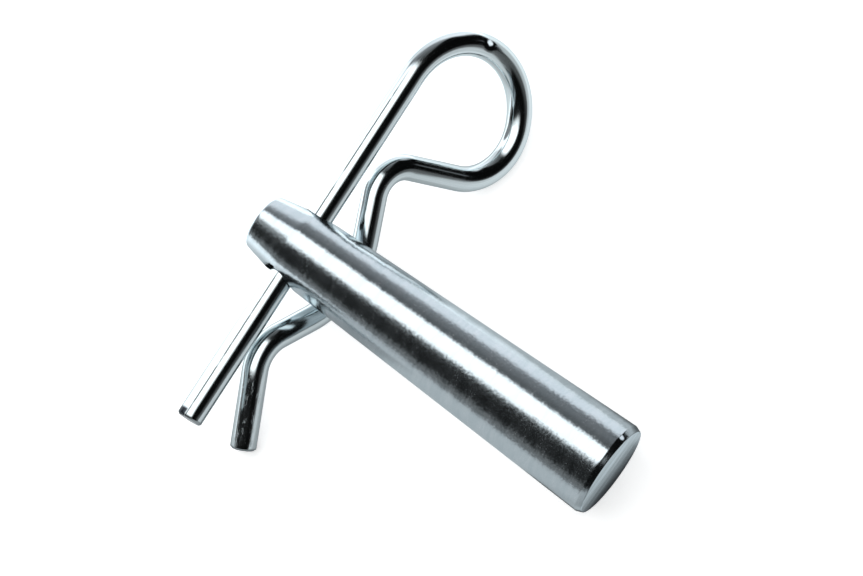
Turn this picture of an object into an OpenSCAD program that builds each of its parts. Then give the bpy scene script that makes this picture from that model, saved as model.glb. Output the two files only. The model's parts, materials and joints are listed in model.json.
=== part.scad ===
// Taper pin with its R clip, lying as it comes to rest on a flat floor.
// The pin is a plain tapered bar with a cone nose and a cross hole close to that nose.
// The clip is one bent wire: its straight leg goes through the cross hole,
// and its wavy leg passes round the outside of the pin.
// Millimetres, +Z up, floor at z = 0.

/* [Taper pin] */
// Diameter of the pin at its large end
pin_big_d = 15; // [14.6:0.1:15.6]
// Diameter of the pin where the nose begins
pin_small_d = 11.4; // [11.2:0.1:11.8]
// Length of the taper, from the large end to the nose
taper_len = 58; // [52:0.5:66]
// Length of the nose cone
nose_len = 6.6; // [5.6:0.1:7.2]
// Angle between the nose cone and the pin's axis
nose_angle = 11.3; // [8:0.1:16]
// Round on the edge of the nose's flat end
nose_round = 0.6; // [0.3:0.1:1]
// Depth of the chamfer on the large end, measured across the axis
big_chamfer = 0.4; // [0.2:0.1:0.6]
// Length of the chamfer on the large end, measured along the axis
big_chamfer_len = 0.9; // [0.6:0.1:1.2]

/* [Cross hole] */
// Diameter of the cross hole
hole_d = 5.3; // [5.2:0.05:5.5]
// Distance from the start of the nose back to the axis of the cross hole
hole_setback = 0.5; // [0:0.1:1.2]
// Depth of the broken edge at each mouth of the cross hole
mouth_break = 0.25; // [0.1:0.05:0.4]
// Gap left between the leaning leg and the edge of the cross hole
leg_clear = 0.08; // [0.05:0.01:0.12]
// Lean of the straight leg in its loose hole, as far as the hole lets it
leg_lean = 5.2; // [3:0.1:5.6]

/* [R clip] */
// Diameter of the clip's wire
wire_d = 4; // [3.9:0.05:4.05]
// Straight leg, from the pin's axis to its free end
leg_free = 30.4; // [24:0.2:36]
// Straight leg, from the pin's axis to the start of the eye
leg_root = 31; // [28:0.2:36]
// Bend radius of the eye where it leaves the straight leg
eye_r = 11.3; // [10.8:0.1:12]
// Turn of the wider part of the eye
eye_turn = 149.8; // [148:0.1:152]
// Short straight between the two bends of the eye
eye_mid_len = 0.5; // [0.3:0.1:1]
// Bend radius of the eye where it closes towards the wavy leg
eye_close_r = 9; // [8.6:0.1:10]
// Turn of the closing part of the eye
eye_close_turn = 97.4; // [96:0.1:99]
// Straight wire between the eye and the shoulder
neck_len = 9.1; // [8.4:0.1:9.6]
// Bend radius of the shoulder
shoulder_r = 5; // [4.4:0.1:5.6]
// Turn of the shoulder
shoulder_turn = 93.7; // [92:0.1:95.6]
// Straight wire between the shoulder and the belly
flank_len = 6.7; // [6:0.1:7.6]
// Bend radius of the belly that lies round the pin
belly_r = 15; // [13:0.5:17]
// Turn of the belly
belly_turn = 58.8; // [56:0.1:61]
// Straight wire between the belly and the pinch
ramp_len = 5.6; // [5:0.1:6.6]
// Bend radius of the pinch
pinch_r = 6.3; // [5:0.1:8]
// Turn of the pinch
pinch_turn = 61.4; // [57:0.1:65]
// Straight lead-in tip after the pinch
tip_len = 11.9; // [9:0.1:14]
// How much the wire's radius draws down where it is bent
bend_thinning = 0.01; // [0.005:0.005:0.03]
// Chamfer on the two cut ends of the wire
wire_chamfer = 0.3; // [0.1:0.05:0.5]
// Gap between the belly and the pin when the clip is swung against it
belly_clear = 0.05; // [0.02:0.01:0.1]

/* [Hidden] */
$fn = 72;
wire_r = wire_d / 2;
bend_lap = 0.1;

// The pin stands in its own frame with the cross hole at the origin:
// X runs towards the large end, Z runs along the cross hole.
hole_x = taper_len - hole_setback;
slope = (pin_big_d - pin_small_d) / 2 / taper_len;
function pin_r(x) = pin_big_d / 2 - slope * (hole_x - x);
nose_x = hole_x - taper_len;
tip_x = nose_x - nose_len;
tip_r = pin_small_d / 2 - nose_len * tan(nose_angle);
rim_x = hole_x - big_chamfer_len;

// Centre of the round on the nose's flat end
round_steps = 6;
round_back = nose_round * tan((90 - nose_angle) / 2);
round_x = tip_x + nose_round;
round_y = tip_r - round_back;

// The wire as a list of steps: straight length, bend radius, turn (+ is towards the wavy leg)
wire = [
    [leg_free + leg_root, eye_r, eye_turn],
    [eye_mid_len, eye_close_r, eye_close_turn],
    [neck_len, shoulder_r, -shoulder_turn],
    [flank_len, belly_r, belly_turn],
    [ramp_len, pinch_r, -pinch_turn],
    [tip_len, 0, 0]
];

// Where the wire is, in its own plane: the straight leg lies along X, the wavy leg is at +Y
function ahead(a) = [cos(a), sin(a)];
function left(a) = [-sin(a), cos(a)];
function step_head(i) = i == 0 ? 0 : step_head(i - 1) + wire[i - 1][2];
function step_start(i) = i == 0 ? [-leg_free, 0] : arc_point(i - 1, 1);
function arc_centre(i) =
    step_start(i) + wire[i][0] * ahead(step_head(i)) + sign(wire[i][2]) * wire[i][1] * left(step_head(i));
function arc_point(i, part) =
    arc_centre(i) - sign(wire[i][2]) * wire[i][1] * left(step_head(i) + part * wire[i][2]);
tip_head = step_head(5);
tip_end = step_start(5) + tip_len * ahead(tip_head);

// The leg leans in its loose hole, and the rest of the play lets it lie against the hole's upper side
leg_play = hole_d / 2 - wire_r - leg_clear;
lean = min(leg_lean, atan(leg_play / pin_r(0)));
leg_lift = sqrt(max(0, pow(leg_play, 2) - pow(pin_r(0) * tan(lean), 2)));
leg_at = [0, -leg_lift, 0];
leg_dir = [-sin(lean), 0, cos(lean)];
function wavy_dir(swing) = cos(swing) * [0, 1, 0] + sin(swing) * [cos(lean), 0, sin(lean)];
function wire_turn(p, swing) = p.x * leg_dir + p.y * wavy_dir(swing);
function wire_at(p, swing) = leg_at + wire_turn(p, swing);

// The clip swings about its leg until the belly meets the pin
belly_points = [for (k = [0 : 40]) arc_point(3, k / 40)];
function side_gap(v) = norm([v.y, v.z]) - pin_r(v.x) - wire_r;
function belly_gap(swing) = min([for (p = belly_points) side_gap(wire_at(p, swing))]);
function settle(lo, hi, n) =
    n == 0 ? lo
    : belly_gap((lo + hi) / 2) > belly_clear ? settle((lo + hi) / 2, hi, n - 1)
    : settle(lo, (lo + hi) / 2, n - 1);
swing = settle(0, 80, 30);
wavy = wavy_dir(swing);

// The three points on the floor, for a floor whose upward direction is n
function unit(v) = v / norm(v);
function rim_low(centre, axis, r, n) = centre + r * unit(axis * (n * axis) - n);
function eye_low(n) =
    let (d = unit([-(n * leg_dir), -(n * wavy)]))
    let (head = atan2(d.y, d.x) + 90)
    let (i = head < eye_turn ? 0 : 1)
    wire_at(arc_centre(i) + wire[i][1] * d, swing) - wire_r * n;
tip_dir = wire_turn(ahead(tip_head), swing);
tip_rim = wire_at(tip_end, swing) - wire_chamfer * tip_dir;
function foot_pin(n) = rim_low([rim_x, 0, 0], [1, 0, 0], pin_r(rim_x), n);
function foot_tip(n) = rim_low(tip_rim, tip_dir, wire_r, n);
function facing(v, n) = v * n < 0 ? -v : v;
function floor_up(n, k) =
    k == 0 ? n
    : floor_up(facing(unit(cross(foot_tip(n) - foot_pin(n), eye_low(n) - foot_pin(n))), n), k - 1);
up = floor_up(-wavy, 24);

// Row axes: the straight leg, seen from above, lies along X, with the eye at +X
row_x = unit(leg_dir - up * (up * leg_dir));
row_y = cross(up, row_x);
leg_points = [for (x = [-leg_free, leg_root]) [x, 0]];
bend_points = [for (i = [0 : 4]) for (k = [0 : 24]) arc_point(i, k / 24)];
function rim_reach(x, r, e) = e.x * x + r * norm([e.y, e.z]);
function pin_reach(e) = max(rim_reach(hole_x, pin_big_d / 2 - big_chamfer, e), rim_reach(rim_x, pin_r(rim_x), e),
                            rim_reach(nose_x, pin_small_d / 2, e), rim_reach(tip_x, round_y, e));
function end_reach(p, d, e) = e * p + (wire_r - wire_chamfer) * norm(cross(d, e));
function clip_reach(e) =
    max(max([for (p = bend_points) e * wire_at(p, swing)]) + wire_r,
        end_reach(wire_at(leg_points[0], swing), leg_dir, e),
        end_reach(wire_at(tip_end, swing), tip_dir, e));
function reach(e) = max(pin_reach(e), clip_reach(e));
mid_x = (reach(row_x) - reach(-row_x)) / 2;
mid_y = (reach(row_y) - reach(-row_y)) / 2;
floor_z = up * foot_pin(up);

// Carries a piece from the pin's frame to its place on the floor
module at_rest() {
    multmatrix([
        [row_x.x, row_x.y, row_x.z, -mid_x],
        [row_y.x, row_y.y, row_y.z, -mid_y],
        [up.x, up.y, up.z, -floor_z],
        [0, 0, 0, 1]
    ])
    children();
}

// Half of the pin's outline: X across the pin, Y along it
module pin_outline() {
    polygon([
        [0, hole_x],
        [pin_big_d / 2 - big_chamfer, hole_x],
        [pin_r(rim_x), rim_x],
        [pin_small_d / 2, nose_x],
        for (a = [nose_angle : (90 - nose_angle) / round_steps : 90])
            [round_y + nose_round * cos(a), round_x - nose_round * sin(a)],
        [0, tip_x]
    ]);
}

// One mouth of the cross hole, with its edge broken
module mouth() {
    translate([0, 0, pin_r(0) - mouth_break])
    cylinder(h = 2 * mouth_break, d1 = hole_d, d2 = hole_d + 4 * mouth_break);
}

// Tapered pin with its cross hole
module taper_pin() {
    color([0.72, 0.73, 0.76])
    at_rest()
    difference() {
        rotate([0, 90, 0])
        rotate_extrude()
        pin_outline();
        translate([0, 0, -pin_big_d])
        cylinder(h = 2 * pin_big_d, d = hole_d);
        mouth();
        mirror([0, 0, 1])
        mouth();
    }
}

// Straight wire along X between two places, with chamfers of the two given depths at its ends
module straight(from, to, cut_from = 0, cut_to = 0) {
    rotate([0, 90, 0])
    rotate_extrude()
    polygon([
        [0, from],
        [wire_r - cut_from, from],
        if (cut_from > 0) [wire_r, from + cut_from],
        if (cut_to > 0) [wire_r, to - cut_to],
        [wire_r - cut_to, to],
        [0, to]
    ]);
}

// Bent wire from here, turning left for a positive turn and right for a negative one
module bend(radius, turn) {
    translate([0, sign(turn) * radius, 0])
    rotate([0, 0, turn > 0 ? -90 : 90 + turn])
    rotate_extrude(angle = abs(turn))
    translate([radius, 0])
    circle(r = wire_r - bend_thinning);
}

// Carries a piece to where step i of the wire starts, past the given length of straight wire
module at_step(i, past = 0) {
    at = step_start(i) + past * ahead(step_head(i));
    translate([at.x, at.y, 0])
    rotate([0, 0, step_head(i)])
    children();
}

// The whole wire in its own plane: each straight runs a little way into the bends beside it
module wire_run() {
    at_step(0)
    straight(0, wire[0][0] + bend_lap, wire_chamfer, 0);
    for (i = [1 : 4])
        at_step(i)
        straight(-bend_lap, wire[i][0] + bend_lap);
    at_step(5)
    straight(-bend_lap, wire[5][0], 0, wire_chamfer);
    for (i = [0 : 4])
        at_step(i, wire[i][0])
        bend(wire[i][1], wire[i][2]);
}

// R clip: the wire's plane is turned about the straight leg, and the leg leans in its hole
module r_clip() {
    color([0.62, 0.63, 0.65])
    at_rest()
    translate(leg_at)
    rotate([0, -lean, 0])
    rotate([0, 0, -swing])
    rotate([0, -90, 0])
    wire_run();
}

taper_pin();
r_clip();
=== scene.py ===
import bmesh
import bpy
import json
from math import asin, atan2, cos, degrees, pi, radians, sin, sqrt, tan
from mathutils import Matrix, Vector


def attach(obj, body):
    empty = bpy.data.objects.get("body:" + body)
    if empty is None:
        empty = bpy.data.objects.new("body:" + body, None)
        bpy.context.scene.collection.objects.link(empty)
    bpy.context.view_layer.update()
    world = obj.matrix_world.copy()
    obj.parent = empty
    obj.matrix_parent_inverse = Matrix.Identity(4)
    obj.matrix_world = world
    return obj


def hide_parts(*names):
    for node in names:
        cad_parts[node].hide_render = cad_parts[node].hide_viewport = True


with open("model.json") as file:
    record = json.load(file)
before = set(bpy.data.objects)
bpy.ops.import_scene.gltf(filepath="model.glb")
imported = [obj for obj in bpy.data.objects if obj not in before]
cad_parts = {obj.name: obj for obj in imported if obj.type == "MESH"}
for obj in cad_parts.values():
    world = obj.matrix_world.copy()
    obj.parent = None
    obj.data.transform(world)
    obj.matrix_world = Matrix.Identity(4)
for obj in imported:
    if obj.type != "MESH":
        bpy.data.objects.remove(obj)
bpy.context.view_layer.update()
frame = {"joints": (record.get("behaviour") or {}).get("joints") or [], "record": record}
scene = bpy.context.scene

# Sizes, in mm, as in the CAD. MM turns them into metres.
MM = 0.001
BIG_R, SMALL_R = 7.5, 5.7
TAPER, NOSE = 58.0, 6.6
NOSE_ANGLE = radians(11.3)
NOSE_ROUND = 0.6
CHAMFER, CHAMFER_LEN = 0.4, 0.9
HOLE_R, HOLE_SETBACK, MOUTH = 2.65, 0.5, 0.25
WIRE_R, WIRE_CHAMFER = 1.985, 0.29
LEG_FREE, LEG_ROOT = 30.4, 31.0
LEG_LEN = LEG_FREE + LEG_ROOT
TIP_LEN = 11.9
# straight before the bend, bend radius, turn in degrees (+ towards the wavy leg)
WIRE = [
    (LEG_LEN, 11.3, 149.8),
    (0.5, 9.0, 97.4),
    (9.1, 5.0, -93.7),
    (6.7, 15.0, 58.8),
    (5.6, 6.3, -61.4),
    (TIP_LEN, 0.0, 0.0),
]
WIRE_LEN = sum(length + radius * radians(abs(turn)) for length, radius, turn in WIRE)
SWING = radians(39.3255)

# How finely the pieces are divided: sides of the round, and steps in mm, of bends in degrees.
WIRE_SIDES, PIN_SIDES, CUTTER_SIDES = 64, 192, 96
STRAIGHT_STEP, BEND_STEP, BEND_STEPS_LEAST = 1.5, 2.5, 8
TAPER_STEP, NOSE_STEP, BLEND_STEPS, ROUND_STEPS = 1.0, 0.3, 8, 10
# half the length of the blend between the taper and the nose cone, and of the hole's cutter
BLEND_REACH, CUTTER_REACH = 0.3, 12.0
# Both pieces' UV maps: U runs along the piece, this much for each mm, and V once round it. On the
# wire's cut ends the map is a small disc. The pin's V ends at its seam, away from the camera.
UV_PER_MM = 0.01
DISC_R, DISC_V = 0.02, 0.5
PIN_SEAM = 0.25

# The pin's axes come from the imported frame: A along the pin to its large end, H along its cross
# hole. U runs along the clip's straight leg, and W towards its wavy leg.
tail = next(m for m in frame["record"]["mounts"] if m["name"] == "tail_face")
hinge = next(j for j in frame["joints"] if j["name"] == "clip_swivel")
A = Vector(tail["axis"]).normalized()
FACE = Vector(tail["pos_m"]) / MM
LEG_AT = Vector(hinge["pos_m"]) / MM
U = Vector(hinge["axis"]).normalized()
H = (U - A * U.dot(A)).normalized()
V = H.cross(A)
LEAN = asin(-U.dot(A))
W = V * cos(SWING) + (A * cos(LEAN) + H * sin(LEAN)) * sin(SWING)
ACROSS_CLIP = U.cross(W)
HOLE_X = TAPER - HOLE_SETBACK
HOLE = FACE - A * HOLE_X
NOSE_X = HOLE_X - TAPER

# The camera's axes, place in mm and focal length in pixels, from the photograph.
RIGHT = Vector((0.56485, -0.81269, -0.14314)).normalized()
DOWN = Vector((-0.76494, -0.4506, -0.46024)).normalized()
FWD = RIGHT.cross(DOWN).normalized()
DOWN = FWD.cross(RIGHT).normalized()
CAMERA_AT = Vector((-138.751, -157.521, 399.373))
FOCAL_PX, PHOTO_WIDTH, SENSOR_MM = 3000.0, 863.0, 36.0
# the angle round the pin, in degrees, at which it faces the camera
ROUND_AT = degrees(atan2(-FWD.dot(V), -FWD.dot(H)))

# Leans of the shading normals, with no change of shape: of the pin's side that faces the softbox,
# of the bent tip, and at two small bright marks, on the outside of the eye and on the large end's
# chamfer. A mark is its place, its reach and how far the normals lean there.
FLAT_LEAN = radians(13.0)
TIP_LEAN = radians(6.0)
TIP_LEAN_BEFORE, TIP_LEAN_OVER = 0.5, 3.0
EYE_MARK = (Vector((34.85, 19.5, 17.45)), 1.35, Vector((0.31, 0.7, 0.33)))
RIM_MARK = (Vector((-8.4, -32.15, 14.0)), 0.85, Vector((0.16, 0.52, 0.13)))


def ease(t):
    """0 to 1, smoothly, as t goes from 0 to 1."""
    t = min(max(t, 0.0), 1.0)
    return t * t * (3 - 2 * t)


def marked(normal, at, mark):
    """The normal at this place, with the mark's lean where the mark reaches."""
    spot, reach, lean = mark
    return (normal + lean * ease(1.0 - (at - spot).length / reach)).normalized()


# Meshes.
def circle(sides):
    """Cosine and sine of each corner of a ring."""
    return [(cos(2 * pi * k / sides), sin(2 * pi * k / sides)) for k in range(sides)]


def tube_faces(rings, sides, flip=False):
    """Faces of a closed tube: rows of quads between the rings, then its two end caps."""
    faces = []
    for i in range(rings - 1):
        for k in range(sides):
            a, b = i * sides + k, i * sides + (k + 1) % sides
            faces.append((a, a + sides, b + sides, b) if flip else (a, b, b + sides, a + sides))
    first = tuple(range(sides))
    last = tuple(range((rings - 1) * sides, rings * sides))
    faces += [first, last[::-1]] if flip else [first[::-1], last]
    return faces


def new_object(name, verts, faces):
    """An object of the scene, from points in mm."""
    mesh = bpy.data.meshes.new(name)
    mesh.from_pydata([tuple(v * MM) for v in verts], [], faces)
    mesh.update()
    obj = bpy.data.objects.new(name, mesh)
    scene.collection.objects.link(obj)
    return obj


def face_outward(obj):
    bm = bmesh.new()
    bm.from_mesh(obj.data)
    bmesh.ops.recalc_face_normals(bm, faces=bm.faces)
    bm.to_mesh(obj.data)
    bm.free()


# The clip: one swept wire.
def wire_path():
    """Points of the wire's centre line in its own plane, each with its heading."""
    x, y, head = -LEG_FREE, 0.0, 0.0
    path = [(x, y, head)]
    for length, radius, turn in WIRE:
        steps = max(1, int(length / STRAIGHT_STEP))
        for k in range(1, steps + 1):
            gone = length * k / steps
            path.append((x + gone * cos(head), y + gone * sin(head), head))
        x, y = path[-1][:2]
        if not turn:
            break
        r = radius if turn > 0 else -radius
        cx, cy = x - r * sin(head), y + r * cos(head)
        steps = max(BEND_STEPS_LEAST, int(abs(turn) / BEND_STEP))
        for k in range(1, steps + 1):
            h = head + radians(turn) * k / steps
            path.append((cx + r * sin(h), cy - r * cos(h), h))
        x, y, head = path[-1]
    return path


def place(x, y):
    """The point of the clip's plane, in the shared frame."""
    return LEG_AT + U * x + W * y


# a cut end of the wire: depth below its flat face, and radius
END_PROFILE = (
    (0.0, WIRE_R - WIRE_CHAMFER - 0.06),
    (0.015, WIRE_R - WIRE_CHAMFER),
    (0.06, WIRE_R - WIRE_CHAMFER + 0.05),
    (WIRE_CHAMFER - 0.06, WIRE_R - 0.06),
    (WIRE_CHAMFER, WIRE_R - 0.015),
    (WIRE_CHAMFER + 0.08, WIRE_R),
)


def wire_rings():
    """The wire's rings, each as its centre, side, radius and distance along the wire, and the
    direction in which the bent tip points."""
    path = wire_path()
    rings, along = [], 0.0
    for (x0, y0, _), (x, y, head) in zip(path[:1] + path, path):
        along += sqrt((x - x0) ** 2 + (y - y0) ** 2)
        centre = place(x, y)
        rings.append((centre, place(x - sin(head), y + cos(head)) - centre, WIRE_R, along))
    leg_dir = (rings[1][0] - rings[0][0]).normalized()
    tip_dir = (rings[-1][0] - rings[-2][0]).normalized()

    def cut_end(ring, inward, sign):
        centre, side, _, s = ring
        return [(centre + inward * depth, side, r, s + sign * depth) for depth, r in END_PROFILE]

    start, stop = cut_end(rings[0], leg_dir, 1), cut_end(rings[-1], -tip_dir, -1)
    return start + rings[1:-1] + stop[::-1], tip_dir


def wire_uvs(rings):
    """For each face, the UVs of its corners. On a cap they run round a small disc."""
    uvs = []
    for ring, after in zip(rings, rings[1:]):
        u0, u1 = ring[3] * UV_PER_MM, after[3] * UV_PER_MM
        for k in range(WIRE_SIDES):
            v0, v1 = k / WIRE_SIDES, (k + 1) / WIRE_SIDES
            uvs.append([(u0, v0), (u0, v1), (u1, v1), (u1, v0)])
    for s in (0.0, rings[-1][3]):
        u = s * UV_PER_MM
        disc = [(u + DISC_R * c, DISC_V + DISC_R * d) for c, d in circle(WIRE_SIDES)]
        uvs.append(disc[::-1])
    return uvs


def make_wire():
    rings, tip_dir = wire_rings()
    verts = [centre + (side * c + ACROSS_CLIP * s) * radius
             for centre, side, radius, _ in rings for c, s in circle(WIRE_SIDES)]
    wire = new_object("clip_wire", verts, tube_faces(len(rings), WIRE_SIDES))
    mesh = wire.data
    layer = mesh.uv_layers.new(name="UVMap")
    for poly, corners in zip(mesh.polygons, wire_uvs(rings)):
        poly.use_smooth = len(corners) == 4
        for li, uv in zip(poly.loop_indices, corners):
            layer.data[li].uv = uv
    # the bent tip shines as if it leaned a few degrees further down than it does
    mesh.update()
    lean_from = rings[-1][3] - TIP_LEN - TIP_LEAN_BEFORE
    normals = []
    for corner, loop in zip(mesh.corner_normals, mesh.loops):
        along = rings[loop.vertex_index // WIRE_SIDES][3]
        leant = corner.vector + tip_dir * TIP_LEAN * ease((along - lean_from) / TIP_LEAN_OVER)
        at = mesh.vertices[loop.vertex_index].co / MM
        normals.append(tuple(marked(leant, at, EYE_MARK)))
    mesh.normals_split_custom_set(normals)
    return wire


def leg_turn(across):
    """The V of the straight leg's side that the camera sees at this part of its half width."""
    facing = atan2(-FWD.dot(ACROSS_CLIP), -FWD.dot(W))
    spots = [(facing + sign * asin(across)) / (2 * pi) % 1 for sign in (1, -1)]

    def to_that_side(spot):
        outward = W * cos(2 * pi * spot) + ACROSS_CLIP * sin(2 * pi * spot)
        return outward.dot(RIGHT) * (1 if across > 0 else -1)

    return max(spots, key=to_that_side)


# The pin: a turned profile with the cross hole cut.
def pin_radius(x):
    """The radius of the long taper at x along the axis, from the cross hole."""
    return BIG_R - (BIG_R - SMALL_R) / TAPER * (HOLE_X - x)


def down_to(x, end, step):
    """x, x - step and so on, while they are more than the end."""
    while x > end:
        yield x
        x -= step


def pin_profile():
    """(x along the axis, radius) from the large face to the nose's flat end."""
    rim = HOLE_X - CHAMFER_LEN
    pts = [
        (HOLE_X, BIG_R - CHAMFER - 0.06),
        (HOLE_X - 0.015, BIG_R - CHAMFER - 0.012),
        (HOLE_X - 0.06, BIG_R - CHAMFER + 0.02),
    ]
    inner, outer = Vector(pts[-1]), Vector((rim + 0.1, pin_radius(rim) - 0.05))
    pts += [tuple(inner.lerp(outer, k / 4)) for k in (1, 2, 3)]
    pts += [
        (rim + 0.1, pin_radius(rim) - 0.05),
        (rim + 0.03, pin_radius(rim) - 0.018),
        (rim - 0.05, pin_radius(rim) - 0.006),
        (rim - 0.15, pin_radius(rim - 0.15)),
    ]
    pts += [(x, pin_radius(x)) for x in down_to(rim - 0.8, 5.0, TAPER_STEP)]
    pts += [(x, pin_radius(x)) for x in down_to(4.8, NOSE_X + 0.35, NOSE_STEP)]
    # the blend between the taper and the nose cone
    before = Vector((NOSE_X + BLEND_REACH, pin_radius(NOSE_X + BLEND_REACH)))
    corner = Vector((NOSE_X, SMALL_R - 0.004))
    after = Vector((NOSE_X - BLEND_REACH, SMALL_R - BLEND_REACH * tan(NOSE_ANGLE)))
    for k in range(BLEND_STEPS + 1):
        t = k / BLEND_STEPS
        pts.append(tuple(before * (1 - t) ** 2 + corner * 2 * t * (1 - t) + after * t * t))
    # the nose cone and its rounded edge
    tip_x = NOSE_X - NOSE + 0.005
    tip_r = SMALL_R - NOSE * tan(NOSE_ANGLE)
    cx = tip_x + NOSE_ROUND
    cy = tip_r - NOSE_ROUND * tan((pi / 2 - NOSE_ANGLE) / 2)
    for x in down_to(NOSE_X - 0.6, cx - NOSE_ROUND * sin(NOSE_ANGLE) + 0.1, NOSE_STEP):
        pts.append((x, SMALL_R - (NOSE_X - x) * tan(NOSE_ANGLE)))
    for k in range(ROUND_STEPS + 1):
        a = NOSE_ANGLE + (pi / 2 - NOSE_ANGLE) * k / ROUND_STEPS
        pts.append((cx - NOSE_ROUND * sin(a), cy + NOSE_ROUND * cos(a)))
    return pts


def hole_cutter():
    """The cross hole as a solid, flared at both mouths."""
    surface = pin_radius(0)
    half = [(-CUTTER_REACH, HOLE_R + MOUTH * 2), (-surface - MOUTH, HOLE_R + 2 * MOUTH),
            (-surface + MOUTH, HOLE_R)]
    stack = half + [(-z, r) for z, r in half[::-1]]
    verts = [HOLE + H * z + (A * c + V * s) * r for z, r in stack for c, s in circle(CUTTER_SIDES)]
    return new_object("hole_cutter", verts, tube_faces(len(stack), CUTTER_SIDES))


def make_pin():
    profile = pin_profile()
    verts = [HOLE + A * x + (H * c + V * s) * r for x, r in profile for c, s in circle(PIN_SIDES)]
    bar = new_object("pin_bar", verts, tube_faces(len(profile), PIN_SIDES, flip=True))
    cutter = hole_cutter()
    face_outward(bar)
    face_outward(cutter)
    cut = bar.modifiers.new("hole", "BOOLEAN")
    cut.operation = "DIFFERENCE"
    cut.object = cutter
    cut.solver = "EXACT"
    bpy.context.view_layer.update()
    evaluated = bar.evaluated_get(bpy.context.evaluated_depsgraph_get())
    mesh = bpy.data.meshes.new_from_object(evaluated)
    bar.modifiers.clear()
    bar.data = mesh
    mesh.name = "pin_bar"
    bpy.data.objects.remove(cutter)
    dress_pin(mesh, profile)
    return bar


def profile_normals(profile):
    """For each point of the profile, its normal as (along the axis, outward)."""
    normals = []
    for i in range(len(profile)):
        a, b = profile[max(i - 1, 0)], profile[min(i + 1, len(profile) - 1)]
        dx, dr = b[0] - a[0], b[1] - a[1]
        length = sqrt(dx * dx + dr * dr)
        normals.append((dr / length, -dx / length))
    normals[0] = (0.86, 0.5)
    normals[-1] = (-1.0, 0.0)
    return normals


def dress_pin(mesh, profile):
    """The pin's UVs, and its normals: as turned, radial in the hole, flat on the two ends."""
    turned = profile_normals(profile)
    normals = []
    layer = mesh.uv_layers.new(name="UVMap")
    for poly in mesh.polygons:
        middle = Vector(poly.center) / MM - HOLE
        middle_x = middle.dot(A)
        off_axis = (middle - A * middle_x).length
        in_hole = ((middle - H * middle.dot(H)).length < HOLE_R + MOUTH * 1.2
                   and off_axis < pin_radius(middle_x) - 0.02)
        on_chamfer = middle_x > HOLE_X - CHAMFER_LEN
        flat = abs(poly.normal.dot(A)) > 0.999
        poly.use_smooth = not flat
        first_turn = None
        for li in poly.loop_indices:
            p = Vector(mesh.vertices[mesh.loops[li].vertex_index].co) / MM - HOLE
            x = p.dot(A)
            r = p - A * x
            # V stays together within a face, also where the map's seam is
            turn = atan2(r.dot(V), r.dot(H)) / (2 * pi)
            if first_turn is None:
                turn = first_turn = turn - 1 if turn > PIN_SEAM else turn
            if turn - first_turn > 0.5:
                turn -= 1
            if first_turn - turn > 0.5:
                turn += 1
            layer.data[li].uv = (x * UV_PER_MM, turn)
            if flat:
                normal = poly.normal.copy()
            elif in_hole:
                normal = -(p - H * p.dot(H)).normalized()
            else:
                nearest = min(range(len(profile)), key=lambda k: abs(profile[k][0] - x))
                nx, nr = turned[nearest]
                normal = (A * nx + r.normalized() * nr).normalized()
                if on_chamfer:
                    normal = marked(normal, p + HOLE, RIM_MARK)
            normals.append(tuple(normal))
    mesh.normals_split_custom_set(normals)


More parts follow.
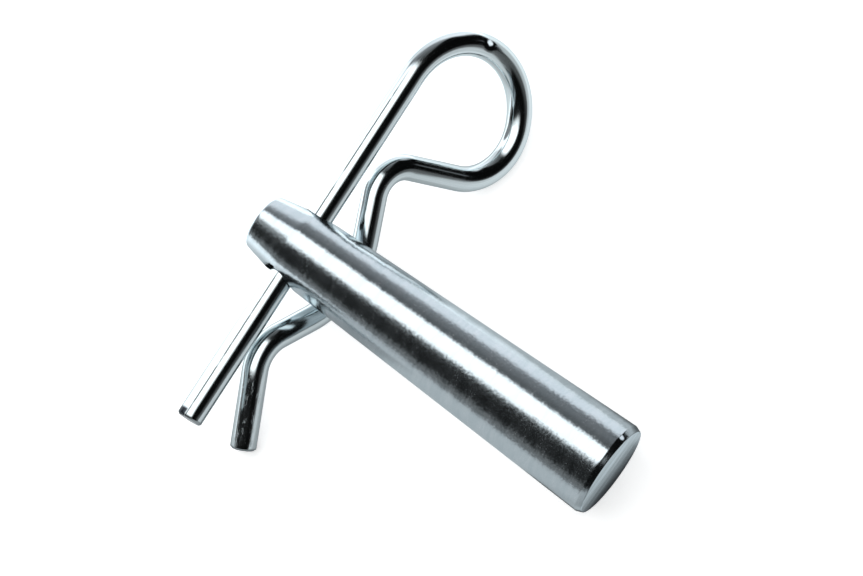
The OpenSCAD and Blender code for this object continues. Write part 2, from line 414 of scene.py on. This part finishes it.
# Materials.
class Nodes:
    """Short names for the nodes of one tree. A value may be a number, a tuple or a socket."""

    def __init__(self, tree):
        self.tree = tree

    def new(self, kind):
        return self.tree.nodes.new(kind)

    def link(self, source, socket):
        self.tree.links.new(source, socket)

    def fill(self, socket, value):
        if isinstance(value, bpy.types.NodeSocket):
            self.link(value, socket)
        else:
            socket.default_value = value

    def math(self, op, *values):
        node = self.new("ShaderNodeMath")
        node.operation = op
        for socket, value in zip(node.inputs, values):
            self.fill(socket, value)
        return node.outputs[0]

    def add(self, first, *others):
        for other in others:
            first = self.math("ADD", first, other)
        return first

    def times(self, first, *others):
        for other in others:
            first = self.math("MULTIPLY", first, other)
        return first

    def minus(self, a, b):
        return self.math("SUBTRACT", a, b)

    def less(self, part, v):
        """1 - part * v"""
        return self.minus(1.0, self.times(v, part))

    def apart(self, v, middle):
        """How far v is from the middle."""
        return self.math("ABSOLUTE", self.add(v, -middle))

    def beyond(self, a, b):
        """a - b where that is more than nothing."""
        return self.math("MAXIMUM", self.minus(a, b), 0.0)

    def smooth(self, v, lo, hi, out0=0.0, out1=1.0):
        """Eases from out0 to out1 as v goes from lo to hi, which may also fall."""
        if lo > hi:
            lo, hi, out0, out1 = hi, lo, out1, out0
        node = self.new("ShaderNodeMapRange")
        node.interpolation_type = "SMOOTHSTEP"
        node.inputs["From Min"].default_value = lo
        node.inputs["From Max"].default_value = hi
        node.inputs["To Min"].default_value = out0
        node.inputs["To Max"].default_value = out1
        self.link(v, node.inputs["Value"])
        return node.outputs["Result"]

    def fades(self, v, lo, hi):
        """Eases from 1 to 0 as v goes from lo to hi."""
        return self.smooth(v, lo, hi, 1.0, 0.0)

    def vector(self, op, *values, scale=None):
        node = self.new("ShaderNodeVectorMath")
        node.operation = op
        for socket, value in zip(node.inputs, values):
            self.fill(socket, value)
        if scale is not None:
            self.fill(node.inputs["Scale"], scale)
        return node.outputs["Value" if op in ("DOT_PRODUCT", "LENGTH") else "Vector"]

    def dot(self, v, axis):
        return self.vector("DOT_PRODUCT", v, axis)

    def turned(self, normal, axis, amount):
        """The normal leans round the axis by about that many radians."""
        lean = self.vector("SCALE", self.vector("CROSS_PRODUCT", axis, normal), scale=amount)
        return self.vector("NORMALIZE", self.vector("ADD", normal, lean))

    def uv(self):
        """The UV map, and its U and V."""
        node = self.new("ShaderNodeUVMap")
        node.uv_map = "UVMap"
        parts = self.new("ShaderNodeSeparateXYZ")
        self.link(node.outputs["UV"], parts.inputs[0])
        return node.outputs["UV"], parts.outputs["X"], parts.outputs["Y"]

    def noise(self, where, stretch, detail, rough, wobble=0.0):
        """Noise of scale 1, on coordinates that are first multiplied by the stretch."""
        if stretch:
            mapping = self.new("ShaderNodeMapping")
            mapping.inputs["Scale"].default_value = (*stretch, 1.0)
            self.link(where, mapping.inputs["Vector"])
            where = mapping.outputs["Vector"]
        node = self.new("ShaderNodeTexNoise")
        node.inputs["Scale"].default_value = 1.0
        node.inputs["Detail"].default_value = detail
        node.inputs["Roughness"].default_value = rough
        node.inputs["Distortion"].default_value = wobble
        self.link(where, node.inputs["Vector"])
        return node.outputs["Fac"]

    def bump(self, height, strength, distance, normal=None):
        node = self.new("ShaderNodeBump")
        node.inputs["Strength"].default_value = strength
        node.inputs["Distance"].default_value = distance
        self.link(height, node.inputs["Height"])
        if normal is not None:
            self.link(normal, node.inputs["Normal"])
        return node.outputs["Normal"]

    def mix(self, part, a, b):
        """From colour a to colour b."""
        node = self.new("ShaderNodeMix")
        node.data_type = "RGBA"
        self.link(part, node.inputs[0])
        for socket, colour in ((node.inputs[6], a), (node.inputs[7], b)):
            self.fill(socket, (*colour, 1.0) if isinstance(colour, tuple) else colour)
        return node.outputs[2]


# Base colours, linear.
METAL_EDGE = (0.76, 0.79, 0.8, 1.0)
WIRE_DULL, WIRE_BRIGHT = (0.62, 0.69, 0.71), (0.69, 0.75, 0.77)
WIRE_DARK = (0.03, 0.035, 0.04)
PIN_DULL, PIN_BRIGHT = (0.49, 0.555, 0.59), (0.59, 0.645, 0.68)
SAWN_DULL, SAWN_BRIGHT = (0.44, 0.515, 0.555), (0.7, 0.8, 0.865)
WHITE = (1.0, 1.0, 1.0)


def metal(name):
    mat = bpy.data.materials.new(name)
    mat.use_nodes = True
    bsdf = mat.node_tree.nodes["Principled BSDF"]
    bsdf.inputs["Metallic"].default_value = 1.0
    bsdf.inputs["Specular Tint"].default_value = METAL_EDGE
    return mat, Nodes(mat.node_tree), bsdf.inputs


def wire_material():
    mat, n, inputs = metal("bright_zinc_wire")
    uv, along, turn = n.uv()
    along_mm = n.times(along, 1 / UV_PER_MM)
    # long drawing marks and a few short scratches
    marks = n.noise(uv, (9.0, 60.0), 3.0, 0.6)
    deep = n.smooth(n.noise(uv, (60.0, 14.0), 4.0, 0.7, 0.6), 0.66, 0.74)
    fine = n.noise(uv, (420.0, 60.0), 2.0, 0.5)
    height = n.minus(n.add(n.times(marks, 0.5), n.times(fine, 0.15)), n.times(deep, 0.5))
    skin = n.bump(height, 0.12, 0.0001)
    # the bent tip carries the marks of the bending tool
    tip = n.times(n.smooth(along_mm, WIRE_LEN - 11.5, WIRE_LEN - 9.5),
                  n.fades(along_mm, WIRE_LEN - 0.9, WIRE_LEN - 0.4))
    rubbed = n.smooth(n.noise(uv, (55.0, 26.0), 5.0, 0.7, 0.8), 0.56, 0.7)
    n.link(n.bump(n.times(rubbed, tip), 0.16, 0.0002, skin), inputs["Normal"])
    rough = n.add(n.smooth(marks, 0.3, 0.7, 0.1, 0.15), n.times(deep, 0.15))
    n.link(n.add(rough, n.times(tip, 0.02)), inputs["Roughness"])
    tone = n.mix(n.smooth(marks, 0.35, 0.65), WIRE_DULL, WIRE_BRIGHT)
    # one fine dark line along the straight leg
    shake = n.times(n.add(n.noise(uv, (70.0, 0.0), 3.0, 0.7), -0.5), 0.012)
    line = n.times(n.fades(n.apart(n.add(turn, shake), leg_turn(-0.36)), 0.006, 0.012),
                   n.fades(along_mm, LEG_LEN - 6.0, LEG_LEN + 4.0))
    patches = n.smooth(n.noise(uv, (25.0, 0.0), 2.0, 0.5), 0.35, 0.5, 0.35, 0.9)
    # painted shade on the edges of the two cut ends, and a dark spot on the wire's side near each
    # cut end
    to_end = n.math("MINIMUM", along_mm, n.minus(WIRE_LEN, along_mm))
    end_shade = n.times(n.fades(to_end, 0.35, 0.6), 0.55)
    end_spot = n.times(n.fades(to_end, 1.0, 1.5), n.fades(n.apart(turn, leg_turn(-0.8)), 0.06, 0.09))
    dark = n.math("MAXIMUM", n.times(line, patches), n.math("MAXIMUM", end_shade, end_spot))
    n.link(n.mix(dark, tone, WIRE_DARK), inputs["Base Color"])
    return mat


def pin_material():
    mat, n, inputs = metal("satin_zinc_pin")
    uv, _, turn = n.uv()
    # turning marks run round the pin, and pits lie between them
    fray = n.noise(uv, (300.0, 90.0), 4.0, 0.7)
    marks = n.noise(uv, (1500.0, 5.0), 2.0, 0.5)
    cloud = n.noise(uv, (60.0, 5.0), 5.0, 0.7, 0.3)
    pit = n.smooth(n.noise(uv, (330.0, 130.0), 1.0, 0.5), 0.76, 0.82)
    height = n.add(n.times(fray, 0.5), n.times(marks, 0.3), n.times(pit, 0.6))
    # the side that faces the softbox shades a little flatter than round, and the normals wander,
    # which frays the edge of every reflection
    round_deg = n.times(turn, 360.0)
    flat = n.times(n.smooth(round_deg, ROUND_AT - 33, ROUND_AT - 3),
                   n.fades(round_deg, ROUND_AT - 3, ROUND_AT + 32), FLAT_LEAN)
    wander = n.add(n.times(n.add(fray, -0.5), 0.25), n.times(n.add(cloud, -0.5), 0.12))
    skin = n.bump(height, 0.12, 0.0001)
    n.link(n.turned(skin, A, n.add(flat, wander)), inputs["Normal"])
    specks = n.smooth(n.noise(uv, (560.0, 170.0), 2.0, 0.6), 0.55, 0.7, 0.0, 0.09)
    rough = n.add(n.smooth(cloud, 0.3, 0.7, 0.15, 0.2), specks)
    tone = n.mix(n.smooth(cloud, 0.3, 0.7, 0.0, 0.75), PIN_DULL, PIN_BRIGHT)
    # the saw cut's faint streaks across the large end
    where = n.new("ShaderNodeTexCoord").outputs["Object"]
    cut_along = A.cross(FWD).normalized()
    spot = n.new("ShaderNodeCombineXYZ")
    n.link(n.dot(where, A.cross(cut_along) * 900), spot.inputs[0])
    n.link(n.dot(where, cut_along * 45), spot.inputs[1])
    streak = n.smooth(n.noise(spot.outputs[0], None, 4.0, 0.65, 0.3), 0.36, 0.64)
    depth = n.dot(n.vector("SUBTRACT", where, FACE * MM), -A)
    on_face = n.fades(depth, 0.02 * MM, 0.06 * MM)
    sawn = n.mix(streak, SAWN_DULL, SAWN_BRIGHT)
    n.link(n.mix(on_face, tone, sawn), inputs["Base Color"])
    n.link(n.add(rough, n.times(on_face, -0.05)), inputs["Roughness"])
    return mat


# The floor: white to the camera, and to the metal's reflections a glowing sheet of painted light
# and painted shade.
def floor_axes(v):
    """Level unit vectors: along v's shadow on the floor, and that turned a quarter to the left."""
    along = Vector((v.x, v.y, 0.0)).normalized()
    return along, Vector((-along.y, along.x, 0.0))


def floor_material():
    mat = bpy.data.materials.new("white_floor")
    mat.use_nodes = True
    n = Nodes(mat.node_tree)
    mat.node_tree.nodes.clear()
    where = n.new("ShaderNodeNewGeometry").outputs["Position"]

    def mm_along(axis, start):
        return n.add(n.dot(where, axis / MM), -start.dot(axis))

    # up and across as in the photo, in mm from the middle
    up, left = floor_axes(-DOWN)
    up_mm, across_mm = n.dot(where, up / MM), n.dot(where, -left / MM)
    away = n.math("SQRT", n.add(n.times(up_mm, up_mm), n.times(across_mm, across_mm)))
    lower = n.times(n.smooth(away, 40, 200, 0.76, 0.12), n.fades(up_mm, 0, 60))
    to_right = n.math("DIVIDE", across_mm, away)
    upper = n.times(n.smooth(up_mm, 0, 60, 0.0, 1.35), n.smooth(to_right, 0.5, 0.68, 1.0, 0.5))
    # painted shade at the lower right, but not close to the pin's large end, where the sheet is
    # painted a quarter brighter
    from_end = n.vector("SUBTRACT", where, Vector((FACE.x, FACE.y, 0.0)) * MM)
    near_end = n.fades(n.vector("LENGTH", from_end), 8 * MM, 14 * MM)
    dim = n.times(n.smooth(across_mm, 3, 28), n.smooth(up_mm, 6, -14), n.less(1.0, near_end))
    sheet = n.times(n.add(lower, upper), n.less(0.93, dim), n.less(-0.25, near_end))
    # painted light at the upper left
    corner = n.minus(n.times(up_mm, 0.6), n.times(across_mm, 0.8))
    bright = n.times(n.smooth(corner, 34, 56, 0.0, 1.2), n.fades(away, 140, 240))
    sheet = n.add(sheet, bright)
    # painted shade of the clip between its two arms
    arm, beside_arm = floor_axes(U)
    wide = beside_arm if arm.cross(W).z > 0 else -beside_arm
    arm_mm, wide_mm = mm_along(arm, LEG_AT), mm_along(wide, LEG_AT)
    between = n.times(n.smooth(wide_mm, -4, 3), n.fades(wide_mm, 10, 17),
                      n.smooth(arm_mm, -36, -28), n.fades(arm_mm, 33, 41))
    sheet = n.times(sheet, n.less(0.4, between))
    # painted shadow of the pin at the foot of its large end
    front, beside_pin = floor_axes(A)
    front_mm = n.add(mm_along(front, FACE), FACE.z * 0.14)
    beside_mm = n.math("ABSOLUTE", mm_along(beside_pin, FACE))
    shade = n.times(n.fades(front_mm, 0.2, 2.6), n.fades(beside_mm, 7.0, 10.0),
                    n.smooth(front_mm, -14.0, -8.0))
    sheet = n.times(sheet, n.less(0.97, shade))

    rays = n.new("ShaderNodeLightPath").outputs
    white = n.new("ShaderNodeBsdfDiffuse")
    n.link(n.math("MULTIPLY_ADD", rays["Is Glossy Ray"], -0.7, 0.85), white.inputs["Color"])
    glow = n.new("ShaderNodeEmission")
    n.link(n.mix(rays["Is Glossy Ray"], WHITE, (0.93, 0.98, 1.0)), glow.inputs["Color"])
    # to glossy rays the floor glows with the sheet of painted light and shade
    strength = n.add(n.times(rays["Is Camera Ray"], 0.62),
                     n.times(rays["Is Glossy Ray"], sheet, 0.85))
    n.link(strength, glow.inputs["Strength"])
    both = n.new("ShaderNodeAddShader")
    n.link(white.outputs[0], both.inputs[0])
    n.link(glow.outputs[0], both.inputs[1])
    n.link(both.outputs[0], n.new("ShaderNodeOutputMaterial").inputs["Surface"])
    return mat


def make_camera():
    data = bpy.data.cameras.new("camera")
    camera = bpy.data.objects.new("camera", data)
    scene.collection.objects.link(camera)
    data.sensor_fit = "HORIZONTAL"
    data.sensor_width = SENSOR_MM
    data.lens = FOCAL_PX / PHOTO_WIDTH * SENSOR_MM
    data.dof.use_dof = False
    data.clip_start = 0.01
    data.clip_end = 20.0
    axes = Matrix((RIGHT, -DOWN, -FWD)).transposed().to_4x4()
    camera.matrix_world = Matrix.Translation(CAMERA_AT * MM) @ axes
    scene.camera = camera


def make_studio():
    """One large softbox at the left and above, a pale wall behind, dark to the right and below.

    side is a direction's angle to the right of the view, and rise the angle above it."""
    world = bpy.data.worlds.new("studio")
    scene.world = world
    world.use_nodes = True
    n = Nodes(world.node_tree)
    toward = n.new("ShaderNodeTexCoord").outputs["Generated"]
    side = n.times(n.math("ARCSINE", n.dot(toward, RIGHT)), 180 / pi)
    rise = n.times(n.math("ARCTAN2", n.dot(toward, -DOWN), n.dot(toward, -FWD)), 180 / pi)
    # the softbox, with its lower edge and its right edge, which leans to the left as it rises
    low = n.add(n.times(n.beyond(-15.0, side), 0.27), -14.0)
    edge = n.math("MAXIMUM", n.minus(12.0, n.times(n.beyond(rise, 25.0), 1.15)), -42.0)
    edge = n.minus(edge, n.times(n.beyond(12.0, rise), 0.25))
    past_edge = n.minus(side, edge)
    box = n.times(n.smooth(n.minus(rise, low), -11, 6.4), n.fades(past_edge, -8, 9),
                  n.smooth(side, -61, -53, 0.15, 1.0))
    # the wall behind, and the paler gap between it and the softbox
    outside = n.smooth(past_edge, -3, 3)
    wall = n.times(n.smooth(rise, 78, 92), n.fades(side, 26, 40), outside)
    gap = n.times(n.smooth(rise, 34, 48), n.fades(side, 14, 22), outside, n.less(1.0, wall))
    # a small lamp at the far right, faint glows from below, and a trace of light everywhere
    lamp = n.times(n.fades(n.apart(side, 71.0), 3, 6), n.fades(n.apart(rise, 78.0), 22, 28))
    lower_left = n.times(n.smooth(rise, -44, -62), n.smooth(side, -15, -35), 0.22)
    left = n.times(n.smooth(rise, -10, -20), n.smooth(side, -15, -45), 0.006)
    lower_right = n.times(n.smooth(side, 32, 56), n.smooth(rise, -22, -46), 0.1)
    level = n.add(n.times(box, 2.0), n.times(gap, n.smooth(rise, 46, 82, 0.115, 0.32)),
                  n.times(wall, n.smooth(side, -30, 10, 1.0, 1.3)), n.times(lamp, 0.14),
                  lower_left, left, lower_right, 0.003)
    # plain white to the camera
    seen = n.new("ShaderNodeLightPath").outputs["Is Camera Ray"]
    plain = n.new("ShaderNodeMix")
    plain.data_type = "FLOAT"
    n.link(seen, plain.inputs["Factor"])
    n.link(level, plain.inputs[2])
    plain.inputs[3].default_value = 1.0
    background = world.node_tree.nodes["Background"].inputs
    n.link(plain.outputs[0], background["Strength"])
    tint = n.mix(n.smooth(rise, 32, 62), (0.98, 1.0, 1.0), (0.93, 0.96, 1.0))
    n.link(n.mix(seen, tint, WHITE), background["Color"])


clip = make_wire()
pin = make_pin()
clip.data.materials.append(wire_material())
pin.data.materials.append(pin_material())
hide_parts("r_clip")
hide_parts("taper_pin")
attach(clip, "clip")
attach(pin, "pin")

make_camera()
bpy.ops.mesh.primitive_plane_add(size=6.0, location=(0, 0, 0))
floor = bpy.context.object
floor.name = "floor"
floor.data.materials.append(floor_material())

make_studio()
scene.view_settings.view_transform = "Standard"

bpy.context.view_layer.update()
